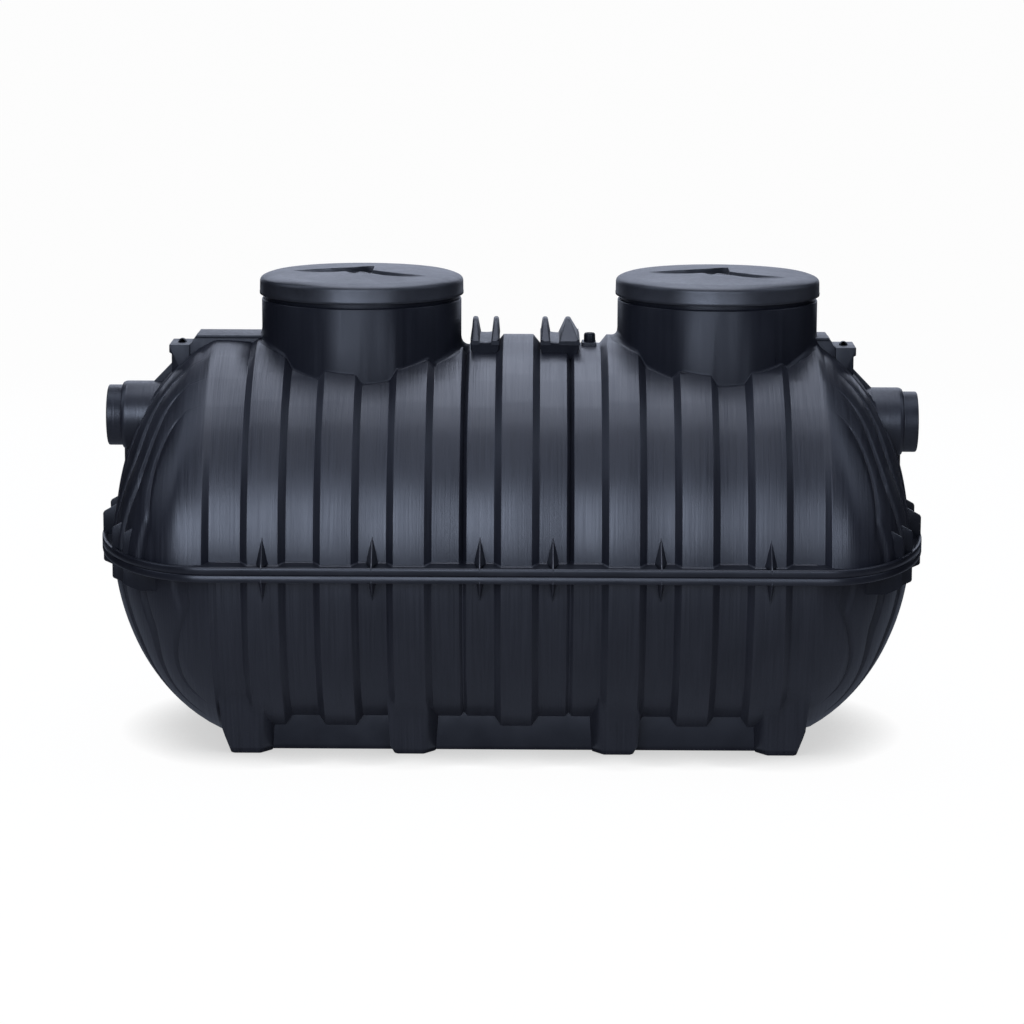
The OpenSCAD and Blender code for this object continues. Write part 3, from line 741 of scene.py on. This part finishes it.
def wall_at(x, line):
    """(y, depth) of the recess's back wall over x, on one of its runs."""
    if x <= line[0][0] or x >= line[-1][0]:
        return None
    for a, b in zip(line, line[1:]):
        if a[0] <= x <= b[0]:
            t = (x - a[0]) / (b[0] - a[0])
            return a[1] + (b[1] - a[1]) * t, a[2] + (b[2] - a[2]) * t


def recess(x, y):
    """Depth of the grip recess under the crown: two scoops that run out to the front, and a pocket with a stud."""
    depth = 0.0
    left, right = wall_at(x, LEFT_RUN), wall_at(x, RIGHT_RUN)
    for hit, run in ((left, LEFT_SCOOP), (right, RIGHT_SCOOP)):
        if hit and y <= hit[0] + 1e-6 and hit[0] - y < run:
            depth = max(depth, hit[1] * (1 - smooth((hit[0] - y) / run)))
    if left and y <= left[0] + 1e-6 and x > -0.062:
        front = POCKET_Y - 0.022 + 0.060 * smooth((-0.020 - x) / 0.040)
        depth = max(depth, left[1] * smooth((y - front) / 0.014) * smooth((x + 0.062) / 0.030))
    if right and abs(x) < 0.040 and y <= right[0]:
        depth = max(depth, 0.013 * smooth((y - POCKET_Y + 0.022) / 0.014) * (1 - smooth((x - 0.030) / 0.012)))
    d, a = math.hypot(x - STUD_X, y - STUD_Y), math.atan2(y - STUD_Y, x - STUD_X)
    aside = abs(a + math.pi / 2)
    if d < STUD_R and depth > 0.003:
        ribs = 1 + 0.07 * math.cos(16 * a) * min(1.0, d / 0.010)
        depth -= 0.0155 * max(0.0, 1 - (d / STUD_R) ** 2) ** 0.7 * ribs
    elif y < POCKET_Y - 0.01 and d < 0.150 and aside < 0.95:
        depth += 0.0009 * math.sin(24 * a) * (1 - d / 0.150) * smooth((0.95 - aside) / 0.3)  # faint rays in front
    return depth


def wall_sides():
    """For each point of the back wall, the way that leads down into the recess."""
    sides = []
    for j in range(len(BACK_WALL)):
        a, b = BACK_WALL[max(0, j - 1)], BACK_WALL[min(len(BACK_WALL) - 1, j + 1)]
        square = Vector((b[1] - a[1], a[0] - b[0])).normalized()
        sides.append(Vector(CORNER_SIDES[j]) if j in CORNER_SIDES else square)
    return sides


def lid_top(shape, cx):
    """The crowned top: its edge, lines down the back wall and a field of points, joined into triangles."""
    turns = [2 * math.pi * i / LID_STEPS for i in range(LID_STEPS)]
    points = [(LID_EDGE * math.cos(a), LID_EDGE * math.sin(a)) for a in turns]
    edges = [(i, (i + 1) % LID_STEPS) for i in range(LID_STEPS)]
    drops = {}
    for offset, share in WALL_SECTION:
        first = len(points)
        for (x, y, depth), side in zip(BACK_WALL, wall_sides()):
            drops[len(points)] = depth * share
            points.append((x + side.x * offset, y + side.y * offset))
        edges += [(i, i + 1) for i in range(first, len(points) - 1)]
    walls = [Vector(p) for p in points[LID_STEPS:]]
    fine, coarse, gap, half = 0.0042, 0.011, 0.0034, 0.27
    y = -half
    while y < half:
        by_recess = -0.09 < y < 0.215
        x = -half
        while x < half:
            if math.hypot(x, y) < LID_EDGE - 0.006 and \
                    all((w.x - x) ** 2 + (w.y - y) ** 2 > gap * gap for w in walls):
                points.append((x, y))
            x += fine if by_recess and abs(x) < 0.20 else coarse
        y += fine if by_recess else coarse
    verts, _, faces, origins, _, _ = delaunay_2d_cdt([Vector(p) for p in points], edges, [], 0, 1e-6)
    base = len(shape.verts)
    for v, origin in zip(verts, origins):
        known = [drops[i] for i in origin if i in drops]
        drop = known[0] if known else recess(v.x, v.y)
        rise = LID_CROWN * (1 - (v.x ** 2 + v.y ** 2) / LID_EDGE ** 2)
        shape.verts.append((cx + v.x, v.y, LID_TOP + rise - drop))
    shape.faces += [tuple(base + i for i in f) for f in faces]


def lid(cx):
    """A shallow cap: skirt, rounded rim, and a crowned top with its grip recess."""
    seat, inner = COLLAR_TOP + SEAT_GAP, COLLAR_R + COLLAR_GAP
    profile = [(0.0005, seat), (inner, seat), (inner, LID_LOW + 0.001), (inner + 0.001, LID_LOW), (LID_R, LID_LOW),
               (LID_R + 0.0008, LID_LOW + 0.0008), (LID_R + 0.0012, LID_LOW + 0.007),
               (LID_R + 0.0004, LID_LOW + 0.0095), (LID_R, 1.3535), (LID_R - 0.0006, 1.3575),
               (LID_R - 0.0020, 1.3610), (LID_R - 0.0045, 1.3640), (LID_R - 0.0085, 1.3668),
               (LID_R - 0.0150, 1.3698), (LID_R - 0.0220, 1.3722), (LID_EDGE, LID_TOP)]
    shape = Shape()
    shape.turned(profile, (cx, 0), LID_STEPS)
    lid_top(shape, cx)
    return shape


for end in ENDS:
    make(end + "_lid_cap", lid(NECKS[end]), end + "_cover", lid_mat, (end + "_lid",), sharp=45)

# ---------------------------------------------------------------- stubs, saddles, posts, webs
STUB_ROOT, STUB_SHOULDER, STUB_STOP = 0.935, 1.144, 1.121  # places along X: root, end of the thick part, bore's stop
STUB_ROOT_R, BORE_R, STOP_R = 0.102, 0.0805, 0.0745
STUB_SECTION = [  # (radius, place along X), from the root out over the mouth and back inside
    (STOP_R, STUB_ROOT), (STUB_ROOT_R, STUB_ROOT), (STUB_ROOT_R, STUB_SHOULDER), (0.1010, 1.150), (0.0975, 1.156),
    (0.0935, 1.158), (0.0905, 1.158), (0.0900, 1.159), (0.0900, 1.1965), (0.0890, 1.1995), (0.0865, 1.201),
    (0.0825, 1.201), (BORE_R, 1.199), (BORE_R, STUB_STOP), (STOP_R, STUB_STOP), (STOP_R, STUB_ROOT)]
POST_IN, POST_OUT, POST_LOW = 0.953, 1.006, 1.03
EYE_X, EYE_R, EYE_BORE = 0.980, 0.013, 0.005  # the loop on the post
WEB_HALF_T = 0.006


def stub(end, steps=96):
    """A pipe stub with its bore."""
    turns = [2 * math.pi * i / steps for i in range(steps)]
    shape = Shape()
    shape.loft([[(SIGN[end] * x, r * math.cos(a), STUB_Z[end] + r * math.sin(a)) for a in turns]
                for r, x in STUB_SECTION], flip=end == "inlet")
    return shape


def saddle(cx):
    """A flat-topped block on the crest with a thin plate on top, at the outlet end of a neck at cx."""
    low, start = SADDLE_TOP - 0.009, cx + 0.26
    block = Shape()
    block.prism([(start, low), (0.9375, low), (0.931, SADDLE_TOP), (start, SADDLE_TOP)],
                -SADDLE_HALF_W, SADDLE_HALF_W, "y")
    block.prism([(start, POST_LOW), (POST_IN, POST_LOW), (POST_IN, POST_TOP), (0.947, POST_TOP + 0.004),
                 (0.939, low), (start, low)], -SADDLE_HALF_W + 0.005, SADDLE_HALF_W - 0.005, "y")
    return block


def arc(x, z, r, angles):
    return [(x + r * math.cos(math.radians(a)), z + r * math.sin(math.radians(a))) for a in angles]


def post():
    """A lipped block with a small loop on top."""
    lip, root = 0.007, POST_TOP - 0.004
    block = Shape()
    block.prism([(POST_IN, POST_LOW), (POST_OUT, POST_LOW), (POST_OUT, POST_TOP - 0.027),
                 (POST_OUT + lip, POST_TOP - 0.023), (POST_OUT + lip, POST_TOP), (POST_IN, POST_TOP)],
                -SADDLE_HALF_W, SADDLE_HALF_W, "y")
    outside = arc(EYE_X, POST_TOP - 0.002, EYE_R, range(0, 181, 15))
    inside = arc(EYE_X, POST_TOP + 0.004, EYE_BORE, range(180, -1, -15))
    block.prism([(EYE_X + EYE_R, root)] + outside + [(EYE_X - EYE_R, root), (EYE_X - EYE_BORE, root)] + inside +
                [(EYE_X + EYE_BORE, root)], -0.008, 0.008, "y")
    return block


def web(z):
    """Upright plates over and under a stub whose middle is at the height z."""
    plate = Shape()
    plate.prism([(1.000, z), (1.091, z), (1.091, z + 0.076), (1.000, z + 0.170)], -WEB_HALF_T, WEB_HALF_T, "y")
    plate.prism([(1.000, 0.69), (1.156, 0.69), (1.156, z), (1.000, z)], -WEB_HALF_T, WEB_HALF_T, "y")
    return plate


for end in ENDS:
    at_inlet = end == "inlet"
    make(end + "_stub_tube", stub(end), "tank", shell_mat, (end + "_stub",), sharp=40)
    make(end + "_saddle_block", saddle(abs(NECKS[end])), "tank", neck_mat, (end + "_saddle",),
         bevel=0.002, mirror_x=at_inlet)
    make(end + "_post_block", post(), "tank", neck_mat, (end + "_post",), bevel=0.0025,
         mirror_x=at_inlet)
    make(end + "_web_plate", web(STUB_Z[end]), "tank", neck_mat, (end + "_web",), bevel=0.0015,
         mirror_x=at_inlet)

# ---------------------------------------------------------------- feet and skirts
FOOT_XS = [-0.771, -0.292, 0.312, 0.791]
HALF_FOOT, DRAFT = 0.046, 0.027                    # half width at the floor, and the draft of the outer side
FRONT, SKIRT_Y, SKIRT_T = 0.354, 0.308, 0.012      # how far out the feet and the skirt stand
FOOT_BACK = 0.244
FOOT_LEAN = 0.27                                   # lean of the front face
END_LEAN = [(0.0, 0.0), (0.018, 0.053), (0.025, 0.077), (0.036, 0.217)]     # (outwards, height) of the inner side
MIDDLE_LEAN = [(0.0, 0.0), (0.014, 0.026), (0.021, 0.160), (0.021, 0.217)]
FOOT_LEVELS = [0.0, 0.0015, 0.005, 0.012, 0.026, 0.053, 0.077] + [0.085 + 0.0085 * j for j in range(21)]


def lower_y(x, z):
    """How far the lower shell's side stands out at a height, or 0 where it has curved away."""
    r = shell_radius(x, LOWER_PROFILE, LOWER)
    return math.sqrt(max(0.0, r * r - (AXIS - z) ** 2))


def foot(i):
    """A block whose leaning face runs up into the shell."""
    lean = END_LEAN if i in (0, 3) else MIDDLE_LEAN
    out = -1 if i < 2 else 1
    rows = []
    for z in FOOT_LEVELS:
        dx = next((a[0] + (b[0] - a[0]) * (z - a[1]) / (b[1] - a[1]) for a, b in zip(lean, lean[1:]) if z <= b[1]),
                  lean[-1][0])
        nip = 0.003 if z == 0 else 0.0008 if z < 0.002 else 0.0  # the edge on the floor is rounded
        a, b = -HALF_FOOT - DRAFT * 0.35 * z / 0.15 + nip, HALF_FOOT + dx - nip
        ring = []
        for j in range(17):
            x = a + (b - a) * j / 16
            corner = 1 - min(1.0, min(x - a, b - x) / 0.006)
            plane = FRONT + FOOT_LEAN * z - nip - 0.006 * corner ** 2
            wall = lower_y(FOOT_XS[i] + out * x, z)
            soft = math.sqrt((plane - wall) ** 2 + 0.010 ** 2)  # the further out of both, with a soft change
            y = wall - 0.003 if wall > plane + 0.045 else 0.5 * (plane + wall + soft) - 0.0016
            ring.append((x, -y))
        ring += [(b + 0.004, -0.285), (b + 0.004, -FOOT_BACK), (a - DRAFT, -FOOT_BACK), (a - DRAFT, -SKIRT_Y)]
        rows.append([(FOOT_XS[i] + out * x, y, z) for x, y in ring])
    shape = Shape()
    shape.loft(rows, capped=True)
    return shape


for side in ("front", "back"):
    for i in range(len(FOOT_XS)):
        make("%s_foot_block_%d" % (side, i + 1), foot(i), "tank", shell_mat,
             ("%s_foot_%d" % (side, i + 1),), mirror_y=side == "back", flip_out=True, sharp=42)
    skirt = Shape()
    skirt.box((FOOT_XS[0], -SKIRT_Y, 0.003), (FOOT_XS[-1], -SKIRT_Y + SKIRT_T, 0.140))
    make(side + "_skirt_wall", skirt, "tank", rim_mat, (side + "_skirt",), bevel=0.003,
         mirror_y=side == "back")

# ---------------------------------------------------------------- cradles and cable guide
CRADLE_YS = (-0.125, -0.122, -0.095, -0.06, -0.030, 0.0, 0.030, 0.06, 0.095, 0.122, 0.125)
PRONG_LOW, PRONG_SHOULDER, PRONG_RISE = 1.178, 1.190, 0.054  # heights of a prong's root and shoulder, rise over it
RIDGE_HALF, ROOF_RUN = 0.030, 0.095                          # level part of the prongs' ridge, and its fall
PAD_TOP, PAD_DIP = 1.196, 0.0115


def prong(a_low, a_top, b_top, b_low):
    """Rings of a prong between two leaning sides, under a roof that falls to the front and the back."""
    rows = []
    for y in CRADLE_YS:
        lift = 1.0 if abs(y) <= RIDGE_HALF else 1.0 - (abs(y) - RIDGE_HALF) / ROOF_RUN
        top = PRONG_SHOULDER + PRONG_RISE * lift
        f = (top - 1.186) / 0.058
        a, b = a_low + (a_top - a_low) * f, b_low + (b_top - b_low) * f
        r = min(0.0045, 0.4 * (b - a))
        rows.append([(a_low, y, PRONG_LOW), (b_low, y, PRONG_LOW), (b + 0.001, y, top - r),
                     (b - 0.3 * r, y, top - 0.3 * r), (b - r, y, top), (a + r, y, top),
                     (a + 0.3 * r, y, top - 0.3 * r), (a - 0.001, y, top - r)])
    return rows


def pad(left, right):
    """Rings of a cradle's pad: narrower underneath and dipped on top."""
    rows = []
    for y in CRADLE_YS:
        nip = 0.002 if abs(y) > 0.124 else 0.0
        top = PAD_TOP - nip
        dip = [(right - (right - left) * j / 8, top - PAD_DIP * math.sin(math.pi * j / 8) ** 0.7)
               for j in range(1, 8)]
        ring = [(left + 0.030 + nip, 1.130), (right - 0.030 - nip, 1.130), (right - 0.008 - nip, 1.148),
                (right - nip, 1.166), (right - nip, top)] + dip + \
            [(left + nip, top), (left + nip, 1.166), (left + 0.008 + nip, 1.148)]
        rows.append([(x, y * (1 - 1.7 * max(0.0, 1.194 - z)), z) for x, z in ring])
    return rows


def cradle(prongs, left, right):
    """Two prongs on a pad."""
    shape = Shape()
    for rows in [prong(*sides) for sides in prongs] + [pad(left, right)]:
        shape.loft(rows, flip=True, capped=True)
    return shape


def cable_guide():
    """A low block with a ribbed round knob."""
    shape = Shape()
    shape.prism([(0.204, 1.13), (0.247, 1.13), (0.250, 1.160), (0.246, 1.174), (0.206, 1.174), (0.202, 1.160)],
                -0.035, 0.035, "y")
    rows = []
    for r, z in ((0.001, 1.165), (0.0165, 1.165), (0.0160, 1.194), (0.0140, 1.1985), (0.0125, 1.1995),
                 (0.0110, 1.197), (0.001, 1.197)):
        radii = [r * (1.07 if j % 2 and r > 0.01 else 1.0) for j in range(36)]
        rows.append([(0.228 + q * math.cos(math.pi * j / 18), q * math.sin(math.pi * j / 18), z)
                     for j, q in enumerate(radii)])
    shape.loft(rows)
    return shape


CRADLES = {  # each prong's sides along X (low, top, top, low), and the pad's sides
    "inlet": ([(-0.121, -0.117, -0.103, -0.096), (-0.062, -0.0555, -0.042, -0.039)], -0.123, -0.039),
    "outlet": ([(0.083, 0.089, 0.103, 0.112), (0.136, 0.156, 0.171, 0.199)], 0.082, 0.196)}
for end in ENDS:
    make(end + "_cradle_fork", cradle(*CRADLES[end]), "tank", neck_mat, (end + "_cradle",),
         flip_out=True)
make("cable_guide_knob", cable_guide(), "tank", neck_mat, ("cable_guide",), bevel=0.001, flip_out=True)

# ---------------------------------------------------------------- floor, light, camera
FLOOR_HALF = 30
floor_mesh = bpy.data.meshes.new("floor")
floor_mesh.from_pydata([(x * FLOOR_HALF, y * FLOOR_HALF, 0) for x, y in ((-1, -1), (1, -1), (1, 1), (-1, 1))], [],
                       [(0, 1, 2, 3)])
floor = bpy.data.objects.new("floor", floor_mesh)
bpy.context.scene.collection.objects.link(floor)
# a pale floor that glows evenly, with a painted contact shadow: its glow is darkened by ambient occlusion close to
# the tank
floor_mat = bpy.data.materials.new("floor_pale")
floor_mat.use_nodes = True
tree = floor_mat.node_tree
shader = tree.nodes["Principled BSDF"]
shader.inputs["Base Color"].default_value = (0.02, 0.02, 0.02, 1)
shader.inputs["Roughness"].default_value = 0.8
shader.inputs["Specular IOR Level"].default_value = 0.0
shader.inputs["Emission Strength"].default_value = 1.0
# painted contact shadow: ambient occlusion near the tank dims the floor's emission colour through this ramp
painted_shadow_ao = tree.nodes.new("ShaderNodeAmbientOcclusion")
painted_shadow_ao.samples = 6
painted_shadow_ao.inputs["Distance"].default_value = 0.20
painted_shadow_ramp = tree.nodes.new("ShaderNodeValToRGB")
for element, position, grey in zip(painted_shadow_ramp.color_ramp.elements, (0.30, 0.97), (0.60, 0.98)):
    element.position, element.color = position, (grey, grey, grey, 1)
tree.links.new(painted_shadow_ao.outputs["AO"], painted_shadow_ramp.inputs["Fac"])
tree.links.new(painted_shadow_ramp.outputs["Color"], shader.inputs["Emission Color"])
floor.data.materials.append(floor_mat)
floor.visible_glossy = False

# the backdrop is seen by the camera only
world = bpy.data.worlds.new("studio")
bpy.context.scene.world = world
world.use_nodes = True
world.node_tree.nodes["Background"].inputs["Color"].default_value = (0.98, 0.98, 0.98, 1)
world.cycles_visibility.diffuse = False
world.cycles_visibility.glossy = False

COOL, MILD = (0.67, 0.77, 1.0), (0.74, 0.81, 1.0)
LIGHTS = [  # name, place, aim, width, height, power, colour
    ("front_left", (-3.25, -7.3, 2.9), (0, 0, 0.8), 1.7, 3.4, 235, COOL),
    ("front_right", (2.75, -7.5, 2.9), (0, 0, 0.8), 1.5, 3.4, 140, COOL),
    ("front_middle", (-0.7, -7.4, 3.0), (0, 0, 0.8), 2.4, 4.6, 270, COOL),
    ("over_top", (0.0, 1.3, 5.6), (0, 0.5, 0.6), 3.8, 5.4, 285, MILD),
    ("front_high", (0.0, -3.4, 5.6), (0, 0, 0.8), 3.8, 1.8, 34, MILD),
    ("over_left", (-4.1, -0.3, 4.6), (0, 0, 0.8), 3.0, 5.0, 70, COOL),
    ("over_right", (4.1, -0.3, 4.6), (0, 0, 0.8), 3.0, 5.0, 70, COOL),
    ("back_high", (0.0, 5.6, 4.2), (0, 0, 1.0), 8.0, 2.0, 112, MILD),
    ("back_low", (0.0, 7.0, 2.0), (0, 0, 1.3), 9.0, 2.4, 70, MILD),
    ("floor_bounce", (0.0, 0.0, 0.012), (0, 0, 3.0), 4.6, 8.0, 26, COOL)]
for name, place, aim, width, height, power, colour in LIGHTS:
    data = bpy.data.lights.new(name, "AREA")
    data.shape = "RECTANGLE"
    data.size, data.size_y, data.energy, data.color = width, height, power, colour
    light = bpy.data.objects.new(name, data)
    bpy.context.scene.collection.objects.link(light)
    light.location = place
    light.rotation_mode = "QUATERNION"
    light.rotation_quaternion = (Vector(aim) - Vector(place)).to_track_quat("-Z", "Y")
    light.visible_camera = False

CAMERA_AT, CAMERA_AIM, CAMERA_ROLL = (0.07, -10.9, 2.621), (0, 0, 0.658), math.radians(0.22)
cam_data = bpy.data.cameras.new("camera")
cam_data.sensor_width, cam_data.lens = 36.0, 130.1836  # mm
cam_data.clip_end = 200
camera = bpy.data.objects.new("camera", cam_data)
bpy.context.scene.collection.objects.link(camera)
camera.location = CAMERA_AT
camera.rotation_mode = "QUATERNION"
camera.rotation_quaternion = ((Vector(CAMERA_AIM) - Vector(CAMERA_AT)).to_track_quat("-Z", "Y")
                              @ Quaternion((0, 0, 1), CAMERA_ROLL))
bpy.context.scene.camera = camera
bpy.context.scene.view_settings.view_transform = "Standard"
